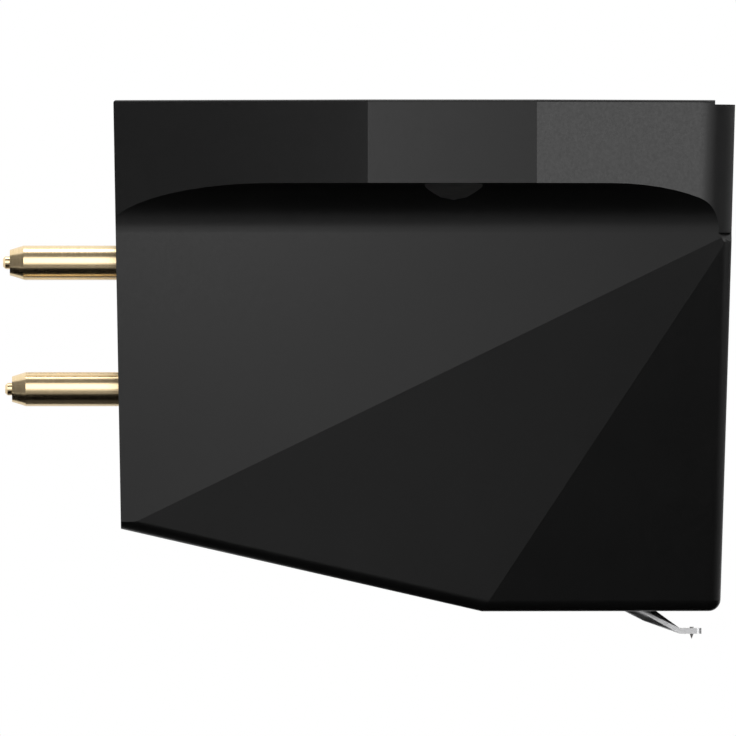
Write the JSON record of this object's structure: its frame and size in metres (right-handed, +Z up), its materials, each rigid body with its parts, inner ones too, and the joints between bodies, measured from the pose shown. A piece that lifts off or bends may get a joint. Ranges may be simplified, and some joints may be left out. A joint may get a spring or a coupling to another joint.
{
  "type": "turntable stylus cartridge",
  "caption": "Moving magnet phono cartridge: faceted moulded body under a flange with threaded mounting holes, terminal pins at the rear and a sprung cantilever with a stylus below.",
  "frame": {"origin": "on the mounting face, midway between the two mounting holes", "axes": "+X towards the front of the cartridge, +Y to its left, +Z up out of the mounting face"},
  "size_m": [0.0257, 0.017, 0.0189],
  "materials": {
    "shell_plastic": "fine matte moulded black",
    "plate_plastic": "matte moulded black",
    "insert_metal": "blackened turned metal",
    "frame_plastic": "matte moulded dark grey",
    "screen_metal": "bare soft magnetic sheet",
    "coil_wire": "enamelled copper wire",
    "carrier_metal": "dull turned alloy",
    "anchor_metal": "turned brass",
    "tie_wire_steel": "bare spring wire",
    "damper_rubber": "soft black rubber",
    "magnet_metal": "plated magnet",
    "cantilever_alloy": "drawn bright tube",
    "stylus_diamond": "polished diamond",
    "pin_gold": "turned and gold plated",
    "bobbin_plastic": "natural moulded plastic",
    "pole_metal": "bare soft magnetic rod"
  },
  "bodies": {
    "body": {"body_shell": "shell_plastic", "rear_plate": "plate_plastic", "mount_inserts": "insert_metal", "generator_frame": "frame_plastic", "magnetic_screen": "screen_metal", "coil_leads": "coil_wire", "stylus_carrier": "carrier_metal", "wire_anchor": "anchor_metal", "tie_wire": "tie_wire_steel", "terminal_pin_left_upper": "pin_gold", "terminal_pin_left_lower": "pin_gold", "bobbin_left_front": "bobbin_plastic", "coil_left_front": "coil_wire", "pole_pin_left_front": "pole_metal", "bobbin_left_rear": "bobbin_plastic", "coil_left_rear": "coil_wire", "pole_pin_left_rear": "pole_metal", "terminal_pin_right_upper": "pin_gold", "terminal_pin_right_lower": "pin_gold", "bobbin_right_front": "bobbin_plastic", "coil_right_front": "coil_wire", "pole_pin_right_front": "pole_metal", "bobbin_right_rear": "bobbin_plastic", "coil_right_rear": "coil_wire", "pole_pin_right_rear": "pole_metal"},
    "damper": {"damper_ring": "damper_rubber"},
    "stylus": {"cantilever": "cantilever_alloy", "magnet": "magnet_metal", "stylus_tip": "stylus_diamond"}
  },
  "joints": [
    {"name": "stylus_vertical", "type": "hinge", "parent": "body", "child": "damper", "pos_m": [0.00335, 0, -0.01625], "axis": [0, -1, 0], "range_deg": [-2, 4], "stiffness_Nm_per_rad": 0.0024},
    {"name": "stylus_lateral", "type": "hinge", "parent": "damper", "child": "stylus", "pos_m": [0.00335, 0, -0.01625], "axis": [0.454, 0, 0.891], "range_deg": [-3, 3], "stiffness_Nm_per_rad": 0.0024}
  ]
}
